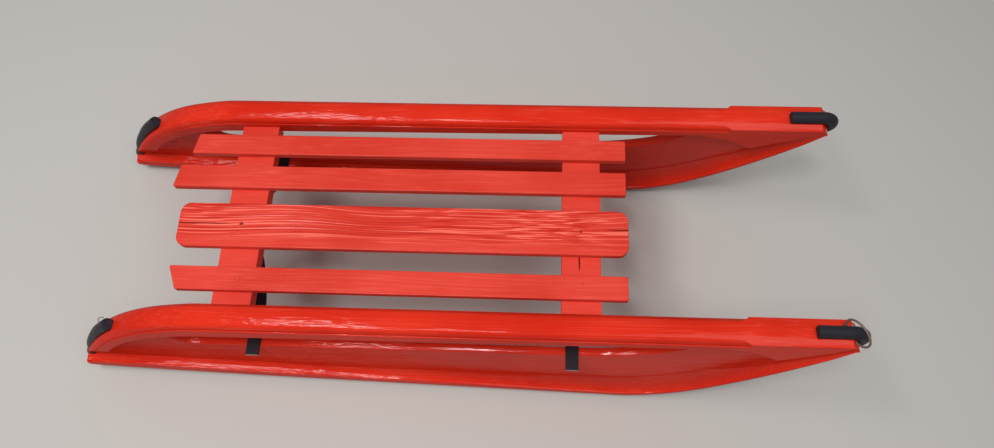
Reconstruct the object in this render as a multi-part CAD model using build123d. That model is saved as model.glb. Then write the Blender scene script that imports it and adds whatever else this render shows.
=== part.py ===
from build123d import *
from math import asin, cos, degrees, radians, sin, tan
import os

os.makedirs("parts", exist_ok=True)

# A high-sided wooden sled with two carved plank runners, four lengthwise seat slats on two crossbars,
# an iron bow under each crossbar and a round iron shoe round the edge of each runner.
# Everything is drawn in the seat's own frame: x forward from the rear foot, z = 0 on the slats,
# d = depth down the runner plank from its top edge. The whole is then tipped onto its shoes.

# Driving dimensions of the runner planks, mm
RAIL_TOP_Z = 6.5          # plank tops stand this far above the slats
TIP_TOP_X = 992.0         # front end of the flat top
NOSE_L = 10.5             # the nose slopes forward and down from there
NOSE_D = 13.0
PLANK_T = 35.0            # plank thickness
TOP_OUTER_Y = 158.8       # outer top corner of each plank from the middle
SPLAY_DEG = 5.2           # planks lean out at the foot
FOOT_D = 176.0            # plank depth at the rear foot
FOOT_GROW = 0.087         # and what it gains per mm going forward
HEEL_RISE = 8.0           # the sole lifts towards the heel
ROCKER_L = 320.0          # over this length
SOLE_FRONT = 247.0        # the sole turns up this far behind the front end of the top
SOLE_EDGE_R = 3.0         # worn edges of the straight sole
POCKET_T = 12.0           # depth of the carved pocket in each face
RAIL_D_REAR = 28.0        # underside of the top rail at the rear
RAIL_D_FRONT = 21.0       # and at the front
SLOT_D = 95.0             # lower edge of the hand slot
SLOT_EDGE_R = 1.0         # and its rounding
ROUND_R = 6.0             # round-over of the top rail
QUIRK_W = 1.5             # small ledge at the foot of the round-over
QUIRK_D = 7.0
ROUND_STOP = 130.0        # the round-over stops this far behind the front end of the top

# Driving dimensions of the iron, mm
SHOE_R = 7.9              # round iron
SHOE_OUT = 4.0            # its axis stands this far off the wood
BEND_R = 15.0             # it turns back over the tip at this radius
BEND_AHEAD = 0.5          # round a point this far ahead of the flat top
BACK_L = 41.0             # length that lies on the flat top
STRAP_T = 4.0
STRAP_W = 16.5
WIRE_R = 1.3
RING_R = 17.7
RING_TURN_DEG = 30.7
RING_AHEAD = 2.0          # ring centre ahead of the flat top's end
RING_ASIDE = 2.4          # and outward from the plank's middle
RING_UP = 9.5
WEAR = 0.5                # play of the wire in its notch

# Driving dimensions of the seat, mm
SLAT_T = 9.0
BAR_T = 18.0
SEAT_CLEAR = 0.05

SPLAY = radians(SPLAY_DEG)
PITCH_DEG = degrees(asin(FOOT_GROW * cos(SPLAY)))
MID_Y = TOP_OUTER_Y - PLANK_T / (2 * cos(SPLAY))
HALF = PLANK_T / 2
HALF_WEB = HALF - POCKET_T
SOLE_END_X = TIP_TOP_X - SOLE_FRONT


def foot(x):
    """depth of the straight line that the shoes stand on"""
    return FOOT_D + FOOT_GROW * x


def sole_d(x):
    lift = max(0.0, 1 - x / ROCKER_L)
    return foot(x) - HEEL_RISE * lift ** 2


def rail_d(x):
    return RAIL_D_REAR + (RAIL_D_FRONT - RAIL_D_REAR) * (x - 240.0) / 460.0


def inner_face_y(z):
    """inner face of the left plank at a height in the seat frame"""
    return TOP_OUTER_Y - PLANK_T / cos(SPLAY) + (RAIL_TOP_Z - z) * tan(SPLAY)


# Rear edge of the plank, columns x, share of the foot's depth
REAR = [
    (8.2, 0.886), (22.5, 0.739), (42.0, 0.577), (75.0, 0.364),
    (115.0, 0.1875), (155.0, 0.0767), (190.0, 0.0227), (225.0, 0.0),
]
HEEL_SOLE_X = 24.0
HEEL_PULL = (11.5, 15.0)  # how far the foot's corner is drawn out down the rear edge and along the sole

# Prow edge, columns back from the front end of the top, share of the plank's depth there
PROW = [(190.0, 0.9398), (144.0, 0.8207), (112.0, 0.6968), (69.0, 0.5033), (32.0, 0.3121), (7.0, 0.1681)]

# Pocket outline at the rear, columns x, d
POCKET_REAR = [
    (58.0, 117.0), (74.0, 94.0), (88.0, 79.5), (104.0, 65.5), (120.0, 55.0),
    (136.0, 47.5), (155.0, 39.5), (185.0, 31.5), (240.0, rail_d(240.0)),
]
POCKET_TOE_X = 40.0
# and at the front on the outer and the inner face, columns back from the front end of the top, d
POCKET_OUTER = [
    (134.0, 18.5), (118.0, 22.0), (105.0, 28.5), (90.0, 38.8), (76.0, 51.0), (67.0, 64.0), (64.0, 76.0),
]
POCKET_INNER = [
    (134.0, 25.0), (118.0, 30.0), (105.0, 37.0), (90.0, 48.0), (78.0, 59.0), (70.0, 70.0), (67.0, 80.0),
]
CEILING_FRONT = 157.0

# The cove between lip and pocket floor, columns way along the edge (0 to 1 the sole, 1 to 2 the prow),
# lip height, cove height, depth, length of the slope back out to the face
COVE = [
    (-0.10, 19.0, 4.0, 11.0, 48.0),
    (0.04, 19.0, 4.0, 11.4, 48.0),
    (0.13, 20.0, 5.0, 12.4, 45.0),
    (0.24, 20.0, 6.0, 12.4, 40.0),
    (0.40, 19.0, 8.0, 12.4, 40.0),
    (0.59, 18.0, 13.0, 12.4, 40.0),
    (0.78, 15.0, 21.0, 12.4, 40.0),
    (0.91, 13.0, 32.0, 12.4, 40.0),
    (1.02, 12.0, 40.0, 12.4, 40.0),
    (1.16, 10.0, 43.0, 12.4, 40.0),
    (1.31, 9.0, 39.0, 12.4, 40.0),
    (1.46, 8.0, 32.0, 12.4, 40.0),
    (1.60, 7.0, 22.0, 12.4, 36.0),
    (1.70, 6.5, 17.5, 11.8, 30.0),
    (1.80, 6.0, 13.5, 7.5, 26.0),
    (1.90, 4.0, 6.5, 4.0, 14.0),
    (2.00, 2.0, 3.0, 1.5, 7.0),
    (2.10, 1.0, 2.0, 0.8, 4.0),
]
SOLE_STEPS = 15
PROW_STEPS = 8
COVE_FLAT = 8.0
COVE_BEYOND = 12.0

# Hand slot ends, at the rear columns x, d; at the front columns back from the front end of the top, d
SLOT_REAR = [(150.0, 42.0), (152.0, 62.0), (168.0, 84.0), (196.0, SLOT_D)]
SLOT_CORNER = [(157.0, 33.0), (172.0, rail_d(172.0))]
SLOT_FRONT = [(292.0, SLOT_D), (242.0, 88.0), (202.0, 73.0), (170.0, 50.0)]
SLOT_TIP = 154.0
SLOT_INTO_RAIL = 0.4

# Iron up the heel, columns share of the rear edge's length from the foot, axis off the wood
HEEL_IRON = [(0.50, 6.0), (0.39, 3.3), (0.28, 0.3), (0.19, -1.6), (0.12, -3.6), (0.05, -5.4)]
# and round the foot, columns x, height of the axis above the sole
HEEL_BEND = [(12.4, 9.5), (18.0, 1.5), (30.0, -3.0)]


def flat(points):
    return [(x, -d) for x, d in points]


def from_front(points):
    return [(TIP_TOP_X - b, -d) for b, d in points]


def slab(edges, y_from, y_to):
    """extrude a side-view outline across the plank's thickness"""
    solid = extrude(Plane.XZ * make_face(edges), amount=y_to - y_from)
    return Pos(0, y_to - solid.bounding_box().max.Y, 0) * solid


# Edges of the plank in the side view
heel_slope = FOOT_GROW + 2 * HEEL_RISE * (ROCKER_L - HEEL_SOLE_X) / ROCKER_L ** 2
rear_edge = Spline(*[(x, -s * FOOT_D) for x, s in REAR], tangents=((0.46, 0.89), (1, 0)))
heel_edge = Bezier(
    (REAR[0][0], -REAR[0][1] * FOOT_D),
    (REAR[0][0] - 0.46 * HEEL_PULL[0], -REAR[0][1] * FOOT_D - 0.89 * HEEL_PULL[0]),
    (HEEL_SOLE_X - HEEL_PULL[1], -sole_d(HEEL_SOLE_X) + heel_slope * HEEL_PULL[1]),
    (HEEL_SOLE_X, -sole_d(HEEL_SOLE_X)),
)
rocker_edge = Spline(
    *[(x, -sole_d(x)) for x in (HEEL_SOLE_X, 0.35 * ROCKER_L, 0.68 * ROCKER_L, ROCKER_L)],
    tangents=((1, -heel_slope), (1, -FOOT_GROW)),
)
sole_edge = Line((ROCKER_L, -foot(ROCKER_L)), (SOLE_END_X, -foot(SOLE_END_X)))
prow_edge = Spline(
    (SOLE_END_X, -foot(SOLE_END_X)),
    *[(TIP_TOP_X - b, -s * foot(TIP_TOP_X - b)) for b, s in PROW],
    (TIP_TOP_X + NOSE_L, -NOSE_D),
    tangents=((1, -FOOT_GROW), (0.5, 0.87)),
)
LOWER_EDGES = [heel_edge, rocker_edge, sole_edge, prow_edge]


def off_edge(edge, share, off):
    """a point beside a curve, off to the left of its run"""
    p = edge @ share
    t = edge % share
    return p.X - t.Y * off, p.Y + t.X * off


def shoulder():
    """upper band of the plank, set in at the quirk and rounded over"""
    front_x = TIP_TOP_X - ROUND_STOP + 60.0
    start = rear_edge @ 0
    inside = off_edge(rear_edge, 0.0, -2 * QUIRK_D)
    top = Line((REAR[-1][0], 0), (front_x, 0))
    chord = Line((front_x, 0), inside)
    toe = Line(inside, (start.X, start.Y))
    band = slab([rear_edge, top, chord, toe], -HALF + QUIRK_W, HALF - QUIRK_W)
    rims = []
    for e in band.edges():
        c = e.center()
        on_side = abs(abs(c.Y) - HALF + QUIRK_W) < 0.01
        if on_side and (e.geom_type != GeomType.LINE or abs(c.Z) < 0.01):
            rims.append(e)
    return fillet(rims, ROUND_R)


def body():
    """full thickness below the quirk"""
    quirk = [off_edge(rear_edge, s, -QUIRK_D) for s in (0.0, 0.15, 0.3, 0.45, 0.6, 0.75, 0.9)]
    quirk.append((REAR[-1][0], -QUIRK_D))
    rear = Spline(*quirk, tangents=((0.46, 0.89), (1, 0)))
    nose_x = TIP_TOP_X + NOSE_L * QUIRK_D / NOSE_D
    top = Line((REAR[-1][0], -QUIRK_D), (nose_x, -QUIRK_D))
    nose = Line((nose_x, -QUIRK_D), (TIP_TOP_X + NOSE_L, -NOSE_D))
    step = Line(quirk[0], (REAR[0][0], -REAR[0][1] * FOOT_D))
    board = slab([step, rear, top, nose] + LOWER_EDGES, -HALF, HALF)
    worn = []
    for e in board.edges():
        c = e.center()
        if abs(abs(c.Y) - HALF) < 0.01 and e.length > 60 and c.Z < -FOOT_D * 0.9:
            worn.append(e)
    return fillet(worn, SOLE_EDGE_R)


def nose_block():
    """square-edged top in front of the round-over, its rear end swept out to full width"""
    stop = TIP_TOP_X - ROUND_STOP
    waist = HALF - QUIRK_W - ROUND_R - 1.0
    run = 14.0
    left = Spline(
        (stop - run, waist), (stop, waist + 2.2), (stop + run, HALF),
        tangents=((1, 0.05), (1, 1.3)),
    )
    right = Spline(
        (stop - run, -waist), (stop, -waist - 2.2), (stop + run, -HALF),
        tangents=((1, -0.05), (1, -1.3)),
    )
    back = Line((stop - run, -waist), (stop - run, waist))
    long_x = TIP_TOP_X + NOSE_L + 20.0
    ahead = Polyline((stop + run, HALF), (long_x, HALF), (long_x, -HALF), (stop + run, -HALF))
    plan = make_face([back, left, ahead, right])
    block = Pos(0, 0, -NOSE_D) * extrude(Plane.XY * plan, amount=NOSE_D)
    low = 2 * QUIRK_D
    side = Polyline(
        (0, 0), (TIP_TOP_X, 0), (TIP_TOP_X + NOSE_L, -NOSE_D), (TIP_TOP_X, -low), (0, -low),
        close=True,
    )
    return block & slab(side, -HALF - 1, HALF + 1)


def cove_sizes(way):
    """sizes of the cove's section, read off between two rows of the table"""
    for low, high in zip(COVE, COVE[1:]):
        if way <= high[0]:
            share = (way - low[0]) / (high[0] - low[0])
            return [a + (b - a) * share for a, b in zip(low[1:], high[1:])]
    return list(COVE[-1][1:])


def cove_stations():
    """where each cove section stands: point on the plank's edge, inward direction, section sizes"""
    stations = []
    for i in range(-1, SOLE_STEPS):
        way = i / SOLE_STEPS
        x = way * SOLE_END_X
        slope = FOOT_GROW + 2 * HEEL_RISE * max(0.0, ROCKER_L - x) / ROCKER_L ** 2
        n = Vector(slope, 1).normalized()
        stations.append(((x, -sole_d(x)), (n.X, n.Y), cove_sizes(way)))
    for i in range(PROW_STEPS + 1):
        way = i / PROW_STEPS
        p = prow_edge @ way
        t = prow_edge % way
        stations.append(((p.X, p.Y), (-t.Y, t.X), cove_sizes(1 + way)))
    beyond = (p.X + t.X * COVE_BEYOND, p.Y + t.Y * COVE_BEYOND)
    stations.append((beyond, (-t.Y, t.X), cove_sizes(2.1)))
    return stations


def cove():
    """cutter that leaves the lip, the hollow above it and the slope out to the face"""
    sections = []
    for (x, z), (nx, nz), (lip, height, depth, slope) in cove_stations():
        plane = Plane(origin=(x, HALF, z), x_dir=(nx, 0, nz), z_dir=(-nz, 0, nx))
        foot_u = lip + height
        hollow = Bezier(
            (lip, 0), (lip, -0.55 * depth), (lip + 0.45 * height, -depth), (foot_u, -depth),
        )
        flat_end = foot_u + COVE_FLAT * min(1.0, height / 12.0 + 0.3)
        outer_u = foot_u + slope * (1 + 3.0 / depth)
        rim = Polyline((foot_u, -depth), (flat_end, -0.975 * depth), (outer_u, 3.0), (lip, 3.0), (lip, 0))
        sections.append(plane * make_face([hollow, rim]))
    return loft(sections)


def pocket(front):
    """straight-floored pocket above the cove, in the outer face"""
    low = []
    for (x, z), (nx, nz), (lip, height, depth, slope) in cove_stations():
        u = lip + height + 0.5 * COVE_FLAT * min(1.0, height / 12.0 + 0.3)
        low.append((x + nx * u, z + nz * u))
    lip, height, depth, slope = cove_sizes(POCKET_TOE_X / SOLE_END_X)
    toe = (POCKET_TOE_X, -(sole_d(POCKET_TOE_X) - lip - height - 2.5))
    along = [p for p in low if POCKET_TOE_X + 20 < p[0] and p[1] < -front[-1][1] - 8]
    up = Spline(toe, *flat(POCKET_REAR), tangents=((0.4, 1), (1, 0.015)))
    start_x = TIP_TOP_X - CEILING_FRONT
    ceiling = Line(flat([POCKET_REAR[-1]])[0], (start_x, -rail_d(start_x)))
    arch = Spline((start_x, -rail_d(start_x)), *from_front(front), tangents=((1, 0.015), (0.05, -1)))
    bottom = Spline(from_front([front[-1]])[0], *reversed(along), toe)
    return slab([up, ceiling, arch, bottom], HALF - POCKET_T, HALF + 5)


def slot():
    corner_x, corner_d = SLOT_CORNER[1]
    tip_x = TIP_TOP_X - SLOT_TIP
    rear = Spline(*flat(SLOT_REAR), tangents=((0, -1), (1, 0)))
    low = Line(flat([SLOT_REAR[-1]])[0], from_front([SLOT_FRONT[0]])[0])
    tip = (tip_x, -rail_d(tip_x) + SLOT_INTO_RAIL)
    front = Spline(*from_front(SLOT_FRONT), tip, tangents=((1, 0), (0.3, 1)))
    top_rear = (corner_x, -corner_d + SLOT_INTO_RAIL)
    high = Line(tip, top_rear)
    corner = Spline(
        top_rear, *flat(SLOT_CORNER[:1]), flat([SLOT_REAR[0]])[0],
        tangents=((-1, -0.015), (0, -1)),
    )
    return slab([rear, low, front, high, corner], -HALF_WEB - 0.5, HALF_WEB + 0.5)


def shoe():
    """round iron up the heel, under the sole, up the prow and back over the tip"""
    points = []
    for share, off in HEEL_IRON:
        x, z = off_edge(rear_edge, share, off)
        points.append((x, 0, z))
    for x, up in HEEL_BEND:
        points.append((x, 0, -sole_d(x) + up))
    for x in (0.17 * ROCKER_L, 0.4 * ROCKER_L, 0.7 * ROCKER_L, ROCKER_L):
        points.append((x, 0, -sole_d(x) - SHOE_OUT))
    heel_run = Spline(*points, tangents=((-0.7, 0, -0.7), (1, 0, -FOOT_GROW)))
    floor_run = Line(points[-1], (SOLE_END_X, 0, -foot(SOLE_END_X) - SHOE_OUT))
    prow_points = [(SOLE_END_X, 0, -foot(SOLE_END_X) - SHOE_OUT)]
    for share in (0.16, 0.3, 0.44, 0.58, 0.7, 0.81, 0.91):
        x, z = off_edge(prow_edge, share, -SHOE_OUT)
        prow_points.append((x, 0, z))
    centre_x = TIP_TOP_X + BEND_AHEAD
    centre_z = SHOE_OUT - BEND_R

    def on_bend(degrees_up):
        a = radians(degrees_up)
        return centre_x + BEND_R * cos(a), 0, centre_z + BEND_R * sin(a)

    rise = radians(60.0)
    prow_points.append(on_bend(-30.0))
    prow_run = Spline(*prow_points, tangents=((1, 0, -FOOT_GROW), (cos(rise), 0, sin(rise))))
    bend = ThreePointArc(on_bend(-30.0), on_bend(30.0), on_bend(90.0))
    back = Line(on_bend(90.0), (TIP_TOP_X - BACK_L, 0, SHOE_OUT))
    path = heel_run + floor_run + prow_run + bend + back
    section = Plane(origin=path @ 0, z_dir=path % 0) * Circle(SHOE_R)
    bar = sweep(section, path=path, transition=Transition.ROUND)
    rims = [e for f in bar.faces() if f.geom_type == GeomType.PLANE for e in f.edges()]
    return fillet(rims, 2.0)


def plank():
    board = shoulder() + body() + nose_block()
    outer = cove()
    hollow = outer + pocket(POCKET_OUTER)
    board = board - hollow
    board = board - mirror(outer + pocket(POCKET_INNER), about=Plane.XZ)
    board = board - slot()
    lips = []
    for e in board.edges():
        c = e.center()
        if abs(abs(c.Y) - HALF_WEB) < 0.01 and abs(c.Z + SLOT_D) < 1.0 and e.length > 300:
            lips.append(e)
    return fillet(lips, SLOT_EDGE_R)


def stand(part, side):
    """set a left-hand plank part on its splay; side -1 mirrors it"""
    placed = Pos(0, MID_Y, RAIL_TOP_Z) * Rot(SPLAY_DEG, 0, 0) * part
    if side < 0:
        placed = mirror(placed, about=Plane.XZ)
    return placed


PARTS = {}
iron = shoe()
wood = plank() - iron

# Wire tow ring, loose round the right iron in a notch worn through the nose
ring_place = Pos(TIP_TOP_X + RING_AHEAD, RING_ASIDE, RING_UP) * Rot(0, 0, -RING_TURN_DEG) * Rot(0, 90, 0)
ring = ring_place * Torus(RING_R, WIRE_R)
notch = ring_place * Torus(RING_R, WIRE_R + WEAR)

PARTS["runner_left"] = stand(wood, 1)
PARTS["runner_right"] = stand(wood - notch, -1)
PARTS["shoe_left"] = stand(iron, 1)
PARTS["shoe_right"] = stand(iron, -1)
PARTS["tow_ring"] = stand(ring, -1)

# Crossbars butt on the inner faces of the top rails, columns name, rear edge x, width
BARS = [("crossbar_rear", 229.7, 48.6), ("crossbar_front", TIP_TOP_X - 333.6, 48.2)]
for name, x0, width in BARS:
    z_top = -SLAT_T
    z_low = -SLAT_T - BAR_T
    y_top = inner_face_y(z_top)
    y_low = inner_face_y(z_low)
    end_view = Polyline((-y_top, z_top), (y_top, z_top), (y_low, z_low), (-y_low, z_low), close=True)
    bar = extrude(Plane.YZ * make_face(end_view), amount=width)
    PARTS[name] = Pos(x0 - bar.bounding_box().min.X, 0, 0) * bar

# Slats, columns name, y right edge, y left edge, rear x at right edge, rear x at left edge,
# front end back from the front end of the top, corner radius
SLATS = [
    ("slat_left_outer", 79.3, 107.9, 170.7, 176.2, 253.0, 2.0),
    ("slat_left_inner", 30.8, 62.0, 154.0, 159.6, 253.4, 2.0),
    ("slat_wide", -50.6, 8.4, 172.6, 171.6, 251.7, 13.0),
    ("slat_right", -107.0, -76.6, 183.8, 171.6, 253.7, 2.0),
]
for name, y0, y1, xr0, xr1, back, r in SLATS:
    xf = TIP_TOP_X - back
    plan = Polyline((xr0, y0), (xf, y0), (xf, y1), (xr1, y1), close=True)
    board = extrude(Plane.XY * make_face(plan), amount=-SLAT_T)
    board = fillet(board.edges().filter_by(Axis.Z), r)
    board = fillet([e for e in board.edges() if abs(e.center().Z) < 0.01], 1.2)
    PARTS[name] = board

# Iron bows, resting in the hand slots, columns name, middle x, right end y, left end y
BOWS = [("bow_rear", 262.0, -168.5, 148.0), ("bow_front", TIP_TOP_X - 316.5, -175.5, 148.0)]
slot_floor = (HALF_WEB - SLOT_EDGE_R) * sin(SPLAY) - (SLOT_D + SLOT_EDGE_R) * cos(SPLAY) + SLOT_EDGE_R
foot_z = RAIL_TOP_Z + slot_floor + STRAP_T / 2 + SEAT_CLEAR
crown_z = -SLAT_T - BAR_T - STRAP_T / 2
for name, x, y_right, y_left in BOWS:
    halves = []
    for sign, y_end in ((1, y_left), (-1, y_right)):
        curve = Spline(
            (sign * 20.0, crown_z), (sign * 44.0, crown_z - 15.0), (sign * 70.0, crown_z - 41.0),
            (sign * 92.0, foot_z + 4.0), (sign * 112.0, foot_z),
            tangents=((sign, 0), (sign, 0)),
        )
        under_bar = Line((0, crown_z), (sign * 20.0, crown_z))
        through_slot = Line((sign * 112.0, foot_z), (y_end, foot_z))
        line = under_bar + curve + through_slot
        path = Plane.YZ * line
        section = Plane(origin=path @ 0, z_dir=path % 0, x_dir=(1, 0, 0)) * Rectangle(STRAP_W, STRAP_T)
        halves.append(sweep(section, path=path))
    PARTS[name] = Pos(x, 0, 0) * (halves[0] + halves[1])

# Tip the sled onto its shoes and centre it
tipped = {name: Rot(0, -PITCH_DEG, 0) * part for name, part in PARTS.items()}
boxes = [part.bounding_box() for part in tipped.values()]
x_mid = (min(b.min.X for b in boxes) + max(b.max.X for b in boxes)) / 2
z_low = min(b.min.Z for b in boxes)
for name, part in tipped.items():
    placed = Pos(-x_mid, 0, -z_low) * part
    export_step(placed, os.path.join("parts", name + ".step"))
    b = placed.bounding_box()
    corners = [round(v, 1) for v in (b.min.X, b.min.Y, b.min.Z, b.max.X, b.max.Y, b.max.Z)]
    print(name, len(placed.solids()), round(placed.volume / 1000, 1), corners)
print("middle", round(x_mid, 3), "lowest", round(z_low, 3))
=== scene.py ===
import math

import bpy
from mathutils import Matrix, Vector


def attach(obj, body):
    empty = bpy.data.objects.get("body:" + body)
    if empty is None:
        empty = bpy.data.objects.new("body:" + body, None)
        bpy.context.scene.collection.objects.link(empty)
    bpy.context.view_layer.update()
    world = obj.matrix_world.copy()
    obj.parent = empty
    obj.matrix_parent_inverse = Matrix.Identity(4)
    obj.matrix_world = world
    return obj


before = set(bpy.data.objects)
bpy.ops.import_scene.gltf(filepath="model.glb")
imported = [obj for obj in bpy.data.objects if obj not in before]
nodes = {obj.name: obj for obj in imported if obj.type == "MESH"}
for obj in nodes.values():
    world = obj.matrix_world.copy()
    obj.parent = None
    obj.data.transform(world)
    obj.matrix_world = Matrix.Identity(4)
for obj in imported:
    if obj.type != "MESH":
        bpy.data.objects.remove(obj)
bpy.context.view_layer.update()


# Plank runners
# Two deep softwood planks, carved by hand, under thick vermilion enamel put on with a brush.
# The brush and the grain both run along the board; paint is worn off in a few spots at the tips.
FOOT_GROW = 0.087           # the planks gain this much depth per mm going forward
SPLAY = math.radians(5.2)   # and lean out at the foot

# The seat's own frame, in which the boards are straight: x forward, z up from the slats, in millimetres.
# The sled stands tipped up at the front, so boards and grain run at this angle to the floor.
BOARD_PITCH = math.asin(FOOT_GROW * math.cos(SPLAY))
SEAT_ORIGIN = Vector((-0.514818, 0.0, 0.179907))


def put(tree, kind, sockets, **settings):
    """add a shader node, with its sockets set or linked"""
    made = tree.nodes.new("ShaderNode" + kind)
    for name, value in settings.items():
        setattr(made, name, value)
    for name, value in sockets.items():
        if isinstance(value, bpy.types.NodeSocket):
            tree.links.new(value, made.inputs[name])
        else:
            made.inputs[name].default_value = value
    return made


def arithmetic(tree, operation, *values):
    """one step of arithmetic on sockets or numbers"""
    return put(tree, "Math", dict(enumerate(values)), operation=operation).outputs[0]


def remap(tree, value, low, high, to_low=0.0, to_high=1.0):
    """carry a value from one range to another, easing in and out; low above high turns it round"""
    sockets = {"Value": value, "From Min": low, "From Max": high, "To Min": to_low, "To Max": to_high}
    return put(tree, "MapRange", sockets, interpolation_type="SMOOTHSTEP").outputs[0]


def remap_linear(tree, value, low, high, to_low, to_high):
    """the same at an even rate, with a stop at both ends"""
    sockets = {"Value": value, "From Min": low, "From Max": high, "To Min": to_low, "To Max": to_high}
    return put(tree, "MapRange", sockets).outputs[0]


def mix(tree, share, a, b):
    """colour a, with this share of colour b"""
    return put(tree, "Mix", {"Factor": share, "A": a, "B": b}, data_type="RGBA").outputs["Result"]


def noise(tree, vector, scale, detail, rough=0.5):
    """even noise; the scale is in waves per metre"""
    sockets = {"Vector": vector, "Scale": scale, "Detail": detail, "Roughness": rough}
    return put(tree, "TexNoise", sockets)


def drawn_noise(tree, vector, scales, detail, rough=0.5):
    """noise drawn out along the board, with a scale for each direction"""
    drawn = put(tree, "VectorMath", {0: vector, 1: scales}, operation="MULTIPLY")
    return noise(tree, drawn.outputs[0], 1.0, detail, rough)


def new_group(name, inputs, outputs):
    """a shader node group, with the sockets at both its ends"""
    tree = bpy.data.node_groups.new(name, "ShaderNodeTree")
    for label, kind, value in inputs:
        socket = tree.interface.new_socket(label, in_out="INPUT", socket_type=kind)
        if value is not None:
            socket.default_value = value
    for label, kind in outputs:
        tree.interface.new_socket(label, in_out="OUTPUT", socket_type=kind)
    return tree, tree.nodes.new("NodeGroupInput").outputs, tree.nodes.new("NodeGroupOutput").inputs


def new_material(name):
    """a bare material, with its coordinates turned into the seat's frame, in metres"""
    made = bpy.data.materials.new(name)
    made.use_nodes = True
    made.node_tree.nodes.clear()
    tree = made.node_tree
    shader = put(tree, "BsdfPrincipled", {})
    put(tree, "OutputMaterial", {"Surface": shader.outputs[0]})
    place = put(tree, "TexCoord", {}).outputs["Object"]
    shift = Matrix.Rotation(BOARD_PITCH, 3, "Y") @ -SEAT_ORIGIN
    turn = (0.0, BOARD_PITCH, 0.0)
    level = put(tree, "Mapping", {"Vector": place, "Location": shift, "Rotation": turn})
    return made, tree, shader, level.outputs[0]


def paint_with(node, material):
    """give a carried-over part its finish"""
    node.data.materials.clear()
    node.data.materials.append(material)


# Relief of old softwood: long swaying lines, contour arcs round a knot's place, and a fine short ripple
relief, r_in, r_out = new_group(
    "wood relief",
    [("Vector", "NodeSocketVector", None), ("Rings", "NodeSocketFloat", 12.0)],
    [("Lines", "NodeSocketFloat"), ("Arcs", "NodeSocketFloat"), ("Ripple", "NodeSocketFloat")],
)
wander = drawn_noise(relief, r_in["Vector"], (5.5, 14.0, 14.0), 0.0)
swayed = put(
    relief, "VectorMath", {0: wander.outputs["Color"], 1: (0.0, 0.017, 0.017), 2: r_in["Vector"]},
    operation="MULTIPLY_ADD",
).outputs[0]
lines = drawn_noise(relief, swayed, (3.4, 520.0, 520.0), 1.0)
relief.links.new(lines.outputs[0], r_out["Lines"])
broad = drawn_noise(relief, swayed, (3.6, 15.0, 15.0), 0.0)
turns = arithmetic(relief, "MULTIPLY", broad.outputs[0], r_in["Rings"])
relief.links.new(arithmetic(relief, "PINGPONG", turns, 1.0), r_out["Arcs"])
ripple = drawn_noise(relief, swayed, (55.0, 290.0, 290.0), 1.0, 0.6)
relief.links.new(ripple.outputs[0], r_out["Ripple"])

# Brush marks: fine ridges along the board that swell and fade, and the orange peel of thick enamel
brush, b_in, b_out = new_group(
    "brush marks", [("Vector", "NodeSocketVector", None)], [("Height", "NodeSocketFloat")]
)
stroke = drawn_noise(brush, b_in["Vector"], (12.0, 650.0, 650.0), 2.0)
swell = noise(brush, b_in["Vector"], 22.0, 1.0)
marks = arithmetic(brush, "MULTIPLY", stroke.outputs[0], remap(brush, swell.outputs[0], 0.4, 0.7))
peel = noise(brush, b_in["Vector"], 240.0, 1.0)
summed = arithmetic(brush, "MULTIPLY_ADD", peel.outputs[0], 0.3, marks)
brush.links.new(summed, b_out["Height"])

# A small mark with a ragged edge at one place: a bare patch, a stain, a crack or a painted highlight at a
# strap's end
mark, m_in, m_out = new_group(
    "small mark",
    [
        ("Vector", "NodeSocketVector", None),
        ("Centre", "NodeSocketVector", (0.0, 0.0, 0.0)),
        ("Size", "NodeSocketVector", (0.005, 0.005, 0.005)),
        ("Ragged", "NodeSocketFloat", 0.8),
    ],
    [("Mask", "NodeSocketFloat")],
)
away = put(mark, "VectorMath", {0: m_in["Vector"], 1: m_in["Centre"]}, operation="SUBTRACT")
shares = put(mark, "VectorMath", {0: away.outputs[0], 1: m_in["Size"]}, operation="DIVIDE")
reach = put(mark, "VectorMath", {0: shares.outputs[0]}, operation="LENGTH")
crumbs = noise(mark, m_in["Vector"], 420.0, 3.0)
uneven = arithmetic(mark, "MULTIPLY_ADD", crumbs.outputs[0], m_in["Ragged"], reach.outputs["Value"])
mark.links.new(remap(mark, uneven, 1.30, 1.05), m_out["Mask"])


def with_marks(tree, level, colour, rows):
    """lay small marks over a colour: rows of x, y, z and reach in x, y, z in mm, ragged edge, colour"""
    for x, y, z, rx, ry, rz, ragged, tint in rows:
        spot = put(tree, "Group", {}, node_tree=mark)
        tree.links.new(level, spot.inputs["Vector"])
        spot.inputs["Centre"].default_value = (x / 1000, y / 1000, z / 1000)
        spot.inputs["Size"].default_value = (rx / 1000, ry / 1000, rz / 1000)
        spot.inputs["Ragged"].default_value = ragged
        colour = mix(tree, spot.outputs["Mask"], colour, tint)
    return colour


BUMP_MM = 0.5         # the relief's depths are given in this unit
BRUSH_DEPTH = 0.15
RAIL_MID_Y = 0.1415   # middle of the rails' tops and half their width, in metres
RAIL_HALF = 0.0172
ROUGH_FROM = 0.42     # the fine ripple dies away between these places along the board
ROUGH_TO = 0.50
WORN_EDGE = 0.0009    # radius of the rubbed edges
COAT_WEIGHT = 0.26    # strength of the enamel's shine
# Colours for the grain's lines: a painted glint on their crests and painted shade in their hollows
GLINT_LINE = (0.95, 0.19, 0.14, 1)
SHADE_LINE = (0.42, 0.008, 0.005, 1)


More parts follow.
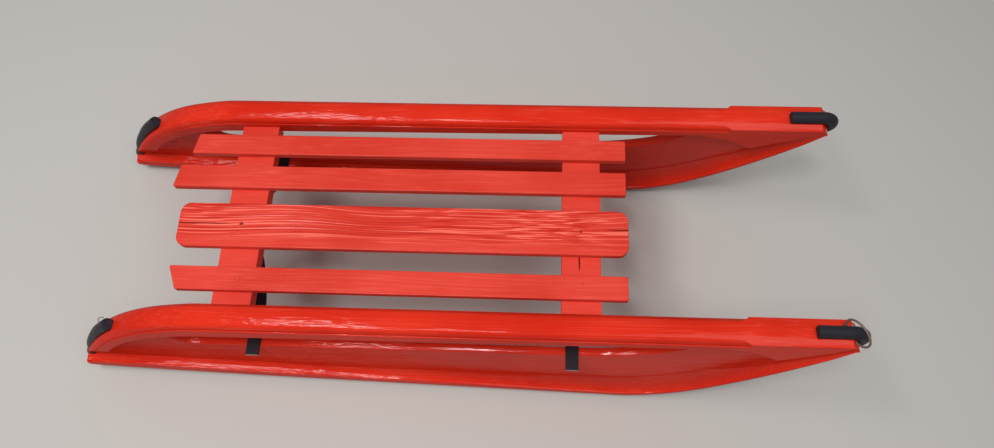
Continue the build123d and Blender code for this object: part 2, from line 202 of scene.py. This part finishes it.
def enamel(
    name, reds, gloss, rings, line_depth, ripple_depth, contrast,
    arc_depth=0.0, plain_side=None, crown=0.0, rows=(),
):
    """red brushed enamel over a board's grain

    gloss is the roughness of its shine, and contrast how strongly the grain's lines are painted with
    glints and shade.
    From the first place in plain_side to the second, in metres across the board, the grain comes up
    from almost plain. The crown rounds a rail's top, in mm from middle to edge.
    """
    made, tree, shader, level = new_material(name)
    wood = put(tree, "Group", {}, node_tree=relief)
    wood.inputs["Rings"].default_value = rings
    tree.links.new(level, wood.inputs["Vector"])
    strokes = put(tree, "Group", {}, node_tree=brush)
    tree.links.new(level, strokes.inputs["Vector"])
    patches = noise(tree, level, 6.0, 3.0).outputs[0]
    here = remap(tree, patches, 0.35, 0.60, 0.6, 1.0)
    along, across = put(tree, "SeparateXYZ", {"Vector": level}).outputs[:2]
    if plain_side:
        fade = remap(tree, across, plain_side[0], plain_side[1], 0.15, 1.0)
        here = arithmetic(tree, "MULTIPLY", here, fade)

    # Painted glints on the crests of the grain's lines, and painted shade in their hollows
    red = mix(tree, remap(tree, patches, 0.35, 0.65), reds[0], reds[1])
    glinting_crests = arithmetic(tree, "MULTIPLY", remap(tree, wood.outputs["Lines"], 0.56, 0.63), here)
    red = mix(tree, arithmetic(tree, "MULTIPLY", glinting_crests, 0.8 * contrast), red, GLINT_LINE)
    shaded_hollows = arithmetic(tree, "MULTIPLY", remap(tree, wood.outputs["Lines"], 0.45, 0.38), here)
    red = mix(tree, arithmetic(tree, "MULTIPLY", shaded_hollows, 0.7 * contrast), red, SHADE_LINE)
    tree.links.new(with_marks(tree, level, red, rows), shader.inputs["Base Color"])

    # Brush marks, grain and crown, summed in one bump over the rubbed edges
    height = arithmetic(tree, "MULTIPLY", strokes.outputs[0], BRUSH_DEPTH)
    for label, depth in (("Lines", line_depth), ("Arcs", arc_depth), ("Ripple", ripple_depth)):
        about = arithmetic(tree, "SUBTRACT", wood.outputs[label], 0.5)
        if label == "Ripple":
            rearward = remap(tree, along, ROUGH_TO, ROUGH_FROM, 0.12, 1.0)
            about = arithmetic(tree, "MULTIPLY", about, rearward)
        part = arithmetic(tree, "MULTIPLY", about, here)
        height = arithmetic(tree, "MULTIPLY_ADD", part, depth, height)
    if crown:
        outward = arithmetic(tree, "ABSOLUTE", across)
        inner, outer = RAIL_MID_Y - RAIL_HALF, RAIL_MID_Y + RAIL_HALF
        half_way = remap_linear(tree, outward, inner, outer, -1.0, 1.0)
        square = arithmetic(tree, "MULTIPLY", half_way, half_way)
        height = arithmetic(tree, "MULTIPLY_ADD", square, -crown / BUMP_MM, height)
    worn = put(tree, "Bevel", {"Radius": WORN_EDGE}, samples=4).outputs[0]
    bump = put(
        tree, "Bump", {"Height": height, "Strength": 1.0, "Distance": BUMP_MM / 1000, "Normal": worn}
    ).outputs[0]
    tree.links.new(bump, shader.inputs["Normal"])
    tree.links.new(bump, shader.inputs["Coat Normal"])

    tree.links.new(remap(tree, patches, 0.3, 0.7, 0.45, 0.6), shader.inputs["Roughness"])
    shader.inputs["Specular IOR Level"].default_value = 0.0
    shader.inputs["Coat Weight"].default_value = COAT_WEIGHT
    shader.inputs["Coat Roughness"].default_value = gloss
    return made


RUNNER_REDS = ((0.58, 0.018, 0.006, 1), (0.68, 0.028, 0.010, 1))
BARE_WOOD = (0.62, 0.42, 0.22, 1)
CREAM = (0.80, 0.62, 0.45, 1)
STAIN = (0.20, 0.035, 0.018, 1)
SCUFF = (0.85, 0.16, 0.11, 1)
runner_red = enamel(
    "runner enamel", RUNNER_REDS, gloss=0.10, rings=9.0, line_depth=0.3, ripple_depth=1.9, contrast=0.12,
    crown=4.2,
    rows=[
        (1002.0, 130.5, -6.0, 3.5, 3.5, 4.5, 0.8, BARE_WOOD),
        (997.0, -131.0, 1.0, 3.5, 3.0, 4.5, 0.8, CREAM),
        (984.0, -131.5, 6.5, 5.0, 7.0, 2.0, 1.0, STAIN),
        (131.0, -144.0, -19.0, 1.6, 1.6, 1.6, 0.4, SCUFF),
        (1001.0, -150.0, -8.0, 2.5, 2.0, 3.0, 0.8, CREAM),
    ],
)
for name in ("runner_left", "runner_right"):
    paint_with(nodes[name], runner_red)


# Seat slats
# Four sawn boards nailed down on the crossbars, in a paler red than the runners, the paleness partly a
# painted sheen.
# The wide one is old open-grained wood, cracked at both ends.
# These reds are paler than the runners' partly as a painted sheen, which the crossbars and nail heads
# share
SEAT_REDS_WITH_SHEEN = ((0.59, 0.038, 0.022, 1), (0.68, 0.056, 0.036, 1))
SEAT_GLOSS = 0.16
CRACK = (0.10, 0.004, 0.003, 1)
slat_red = enamel(
    "slat enamel", SEAT_REDS_WITH_SHEEN, SEAT_GLOSS, rings=6.0, line_depth=0.35, ripple_depth=0.5, contrast=0.15
)
for name in ("slat_left_outer", "slat_left_inner", "slat_right"):
    paint_with(nodes[name], slat_red)
wide_red = enamel(
    "wide slat enamel", SEAT_REDS_WITH_SHEEN, SEAT_GLOSS, rings=14.0, line_depth=1.3, ripple_depth=0.3, contrast=1.0,
    arc_depth=0.45, plain_side=(-0.045, -0.026),
    rows=[
        (196.0, -19.8, 0.0, 42.0, 0.7, 3.0, 0.3, CRACK),
        (738.0, -16.8, 0.0, 26.0, 0.7, 3.0, 0.3, CRACK),
    ],
)
paint_with(nodes["slat_wide"], wide_red)


# Crossbars
# Plain wooden bars from runner to runner under the slats, painted with the rest.
# The front one has a short crack.
bar_red = enamel(
    "crossbar enamel", SEAT_REDS_WITH_SHEEN, SEAT_GLOSS, rings=6.0, line_depth=0.1, ripple_depth=0.1, contrast=0.1,
    rows=[(680.0, -56.0, -9.0, 0.9, 12.0, 3.0, 0.3, CRACK)],
)
for name in ("crossbar_rear", "crossbar_front"):
    paint_with(nodes[name], bar_red)


# Iron shoes and bows
# Round bar bent along the runners' edges, and flat strap arched down under the crossbars and out
# through the hand slots. Both are black with old paint and hard use, a little rust in the pits.
PIT_DEPTH = 0.0003        # in metres, as is the radius of its rubbed edges
WORN_IRON_EDGE = 0.0006
IRON_SHINE = 0.08


def iron(name, black, rust, rust_amount, rough, rows=()):
    """pitted old iron, rusty in patches"""
    made, tree, shader, level = new_material(name)
    pits = noise(tree, level, 260.0, 5.0, 0.65).outputs[0]
    patches = noise(tree, level, 30.0, 4.0).outputs[0]
    spread = remap(tree, patches, 0.62 - rust_amount, 0.75, 0.0, 0.8)
    colour = mix(tree, arithmetic(tree, "MULTIPLY", spread, pits), black, rust)
    tree.links.new(with_marks(tree, level, colour, rows), shader.inputs["Base Color"])
    worn = put(tree, "Bevel", {"Radius": WORN_IRON_EDGE}, samples=4).outputs[0]
    bump = put(tree, "Bump", {"Height": pits, "Strength": 1.0, "Distance": PIT_DEPTH, "Normal": worn})
    tree.links.new(bump.outputs[0], shader.inputs["Normal"])
    tree.links.new(remap(tree, pits, 0.3, 0.7, rough - 0.12, rough + 0.12), shader.inputs["Roughness"])
    shader.inputs["Specular IOR Level"].default_value = IRON_SHINE
    return made


BAR_BLACK = (0.022, 0.021, 0.027, 1)
BAR_RUST = (0.11, 0.05, 0.03, 1)
shoe_black = iron("round iron", BAR_BLACK, BAR_RUST, rust_amount=0.04, rough=0.42)
for name in ("shoe_left", "shoe_right"):
    paint_with(nodes[name], shoe_black)
STRAP_BLACK = (0.020, 0.015, 0.020, 1)
STRAP_RUST = (0.12, 0.04, 0.03, 1)
# The paler patch at each strap's end is a painted highlight, where its lower edge catches the light
END_HIGHLIGHT = (0.30, 0.28, 0.27, 1)
STRAP_ENDS = [(262.0, -169.2), (675.5, -176.2), (262.0, 148.7), (675.5, 148.7)]
STRAP_END_Z = -86.0
strap_black = iron(
    "strap iron", STRAP_BLACK, STRAP_RUST, rust_amount=0.05, rough=0.45,
    rows=[(x, y, STRAP_END_Z, 14.0, 1.0, 6.0, 0.2, END_HIGHLIGHT) for x, y in STRAP_ENDS],
)
for name in ("bow_rear", "bow_front"):
    paint_with(nodes[name], strap_black)


# Nails
# Iron nails driven through the slats into the crossbars, their low round heads painted over.
# Two stand in rimmed holes, and two small ones in the wide slat have sunk and show their iron.
NAIL_SIDES = 16
NAIL_OVAL = 0.06   # a head is this share longer than round, and as much narrower

# From the seat's frame to the floor's, in metres
SEAT = Matrix.Translation(SEAT_ORIGIN) @ Matrix.Rotation(-BOARD_PITCH, 4, "Y") @ Matrix.Scale(0.001, 4)


def nail_shape(steps):
    """a round shape of radius 1, from the edge in: share of the radius, height above the board in mm"""
    bpy.ops.object.select_all(action="DESELECT")
    bpy.ops.mesh.primitive_circle_add(
        vertices=NAIL_SIDES, radius=1.0, fill_type="NGON", calc_uvs=False, location=(0.0, 0.0, steps[0][1])
    )
    bpy.ops.object.mode_set(mode="EDIT")
    for (share, height), (next_share, next_height) in zip(steps, steps[1:]):
        up = (0.0, 0.0, next_height - height)
        bpy.ops.mesh.extrude_region_move(TRANSFORM_OT_translate={"value": up})
        inward = next_share / share
        bpy.ops.transform.resize(value=(inward, inward, 1.0), center_override=(0.0, 0.0, next_height))
    bpy.ops.mesh.select_all(action="SELECT")
    bpy.ops.mesh.normals_make_consistent(inside=False)
    bpy.ops.object.mode_set(mode="OBJECT")
    bpy.ops.object.transform_apply()
    return bpy.context.object


def lay_on_seat(name, pieces):
    """join what was modelled in the seat's frame into one piece, and lay it on the seat"""
    bpy.ops.object.select_all(action="DESELECT")
    for piece in pieces:
        piece.select_set(True)
    laid = pieces[0]
    bpy.context.view_layer.objects.active = laid
    if len(pieces) > 1:
        bpy.ops.object.join()
    bpy.ops.object.transform_apply()
    laid.matrix_world = SEAT
    bpy.ops.object.transform_apply()
    bpy.ops.object.shade_smooth()
    laid.name = name
    laid.data.name = name
    return laid


def nails(name, rows):
    """nails in the seat, as one piece: rows of x, y, height, radius and shape"""
    driven = []
    for x, y, z, radius, shape in rows:
        nail = shape.copy()
        nail.data = shape.data.copy()
        bpy.context.scene.collection.objects.link(nail)
        nail.location = (x, y, z)
        nail.rotation_euler.z = math.pi / 4 - x / 2   # so that each oval lies its own way
        nail.scale = (radius * (1 + NAIL_OVAL), radius * (1 - NAIL_OVAL), 1.0)
        driven.append(nail)
    return lay_on_seat(name, driven)


plain = nail_shape([(1.0, -0.3), (1.0, 0.05), (0.85, 0.35), (0.5, 0.5), (0.15, 0.52)])
rimmed = nail_shape([(1.0, -0.3), (1.0, 0.1), (0.85, 0.5), (0.65, 0.45), (0.45, 0.08), (0.15, 0.02)])
sunk = nail_shape([(1.0, -0.3), (1.0, 0.02), (0.7, 0.06), (0.2, 0.05)])
nail_heads = nails("nail_heads", [
    (253.7, -19.7, 0.0, 3.4, rimmed), (244.1, -34.6, 0.0, 2.6, plain), (261.0, -92.0, 0.0, 3.2, rimmed),
    (318.1, -86.9, 0.0, 1.6, plain), (682.7, -34.3, 0.0, 2.8, plain), (682.5, -88.2, 0.0, 2.6, plain),
    (260.2, 97.3, 0.0, 2.4, plain), (269.7, 54.0, 0.0, 2.4, plain), (364.2, 45.3, 0.0, 1.4, plain),
    (692.0, 99.0, 0.0, 2.4, plain), (702.0, 101.0, 0.0, 1.8, plain), (684.9, 44.2, 0.0, 2.4, plain),
])
nail_heads.data.materials.append(slat_red)
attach(nail_heads, "root")
nail_sunk = nails("nail_sunk", [(253.7, -19.7, 0.06, 1.7, sunk), (681.5, -20.2, 0.0, 1.3, sunk)])
nail_sunk.data.materials.append(strap_black)
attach(nail_sunk, "root")
for shape in (plain, rimmed, sunk):
    bpy.data.objects.remove(shape)


# Tow ring
# A loop of rusty wire round the iron at the right tip.
# It hangs loose in a small notch in the plank.
WIRE_GREY = (0.16, 0.12, 0.10, 1)
WIRE_RUST = (0.36, 0.20, 0.13, 1)
ring_rust = iron("ring wire", WIRE_GREY, WIRE_RUST, rust_amount=0.3, rough=0.45)
paint_with(nodes["tow_ring"], ring_rust)


# Wire eye
# A small loop of the same wire, bent round and stapled into the inner edge of the right runner's heel.
# Its crown stands a little higher than its feet.
EYE_AT_HEEL = Vector((61.0, -131.5, -71.0))
EYE_R = 3.6
EYE_RISE = 2.0
EYE_WIRE_R = 0.55
EYE_SIDES = 8
EYE_FROM = math.radians(-20.0)
EYE_TURN = math.radians(220.0)
EYE_STEPS = 18


def round_eye(step):
    """where the middle of the wire is after so many steps round the loop"""
    a = EYE_FROM + EYE_TURN * step / EYE_STEPS
    return EYE_AT_HEEL + Vector((-EYE_R * math.sin(a), EYE_R * math.cos(a), EYE_RISE * math.sin(a)))


bpy.ops.object.select_all(action="DESELECT")
bpy.ops.mesh.primitive_circle_add(
    vertices=EYE_SIDES, radius=EYE_WIRE_R, fill_type="NGON", calc_uvs=False,
    location=round_eye(0), rotation=(0.0, math.pi / 2, EYE_FROM + math.pi),
)
bpy.ops.object.mode_set(mode="EDIT")
# The wire is drawn on step by step; with no window, transform.rotate turns the other way
for step in range(EYE_STEPS):
    onward = round_eye(step + 1)
    bpy.ops.mesh.extrude_region_move(TRANSFORM_OT_translate={"value": onward - round_eye(step)})
    bpy.ops.transform.rotate(value=-EYE_TURN / EYE_STEPS, orient_axis="Z", center_override=onward)
bpy.ops.mesh.select_all(action="SELECT")
bpy.ops.mesh.normals_make_consistent(inside=False)
bpy.ops.object.mode_set(mode="OBJECT")
wire_eye = lay_on_seat("wire_eye", [bpy.context.object])
wire_eye.data.materials.append(ring_rust)
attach(wire_eye, "root")


# Floor
# A plain pale floor, so large that its edge is out of the camera's view.
FLOOR_GREY = (0.50, 0.475, 0.445, 1)
bpy.ops.object.select_all(action="DESELECT")
bpy.ops.mesh.primitive_plane_add(size=14.0, location=(0.0, 0.0, 0.0))
floor = bpy.context.object
floor.name = "floor"
floor_grey, _, shader, _ = new_material("pale floor")
shader.inputs["Base Color"].default_value = FLOOR_GREY
shader.inputs["Roughness"].default_value = 0.8
floor.data.materials.append(floor_grey)


# Studio light
# A long lamp over the rear of the near side and a small strong one beside it, which draw the shine
# along the near rail, a broad soft one over the front, and an even pale surround.
LAMPS = [
    # name, place and aim in metres, width, depth, watts
    ("long lamp", (-0.92, -0.42, 2.4), (-0.05, -0.1, 0.2), 1.4, 0.26, 31.0),
    ("broad lamp", (0.75, -0.45, 2.4), (0.1, 0.0, 0.1), 1.0, 1.0, 11.0),
    ("streak lamp", (-0.33, -0.52, 2.38), (0.0, -0.15, 0.1), 0.36, 0.16, 12.0),
]
SURROUND_COLOUR = (0.86, 0.88, 0.90, 1)
SURROUND_STRENGTH = 0.35
for name, at, towards, wide, deep, power in LAMPS:
    bpy.ops.object.light_add(type="AREA", location=at)
    lamp = bpy.context.object
    lamp.name = name
    lamp.data.shape = "RECTANGLE"
    lamp.data.size = wide
    lamp.data.size_y = deep
    lamp.data.energy = power
    lamp.rotation_euler = (Vector(towards) - Vector(at)).to_track_quat("-Z", "Y").to_euler()
world = bpy.data.worlds.new("surround")
world.use_nodes = True
surround = world.node_tree.nodes["Background"]
surround.inputs["Color"].default_value = SURROUND_COLOUR
surround.inputs["Strength"].default_value = SURROUND_STRENGTH
bpy.context.scene.world = world


# Camera
# Stands over the near side and looks steeply down, as the photograph was taken.
# Its place is in the seat's frame, and its angles are taken from there.
EYE_AT = Vector((619.98, -360.04, 862.65))
LOOK_DOWN = math.radians(68.034)
LOOK_TURN = math.radians(2.640)
LOOK_ROLL = math.radians(1.312)
FOCAL_PX = 745.66
PHOTO_W_PX = 994.0
SENSOR_MM = 36.0
sd, cd = math.sin(LOOK_DOWN), math.cos(LOOK_DOWN)
aim = Matrix(((1, 0, 0), (0, -sd, -cd), (0, cd, -sd)))
st, ct = math.sin(LOOK_TURN), math.cos(LOOK_TURN)
turn = Matrix(((ct, 0, st), (0, 1, 0), (-st, 0, ct)))
sr, cr = math.sin(LOOK_ROLL), math.cos(LOOK_ROLL)
roll = Matrix(((cr, -sr, 0), (sr, cr, 0), (0, 0, 1)))
seen = roll @ turn @ aim
axes = Matrix((seen[0], -seen[1], -seen[2])).transposed()
facing = Matrix.Rotation(-BOARD_PITCH, 3, "Y") @ axes
camera_data = bpy.data.cameras.new("camera")
camera = bpy.data.objects.new("camera", camera_data)
bpy.context.scene.collection.objects.link(camera)
camera.matrix_world = Matrix.Translation(SEAT @ EYE_AT) @ facing.to_4x4()
camera_data.sensor_width = SENSOR_MM
camera_data.lens = SENSOR_MM * FOCAL_PX / PHOTO_W_PX
bpy.context.scene.camera = camera
bpy.context.scene.view_settings.view_transform = "Standard"
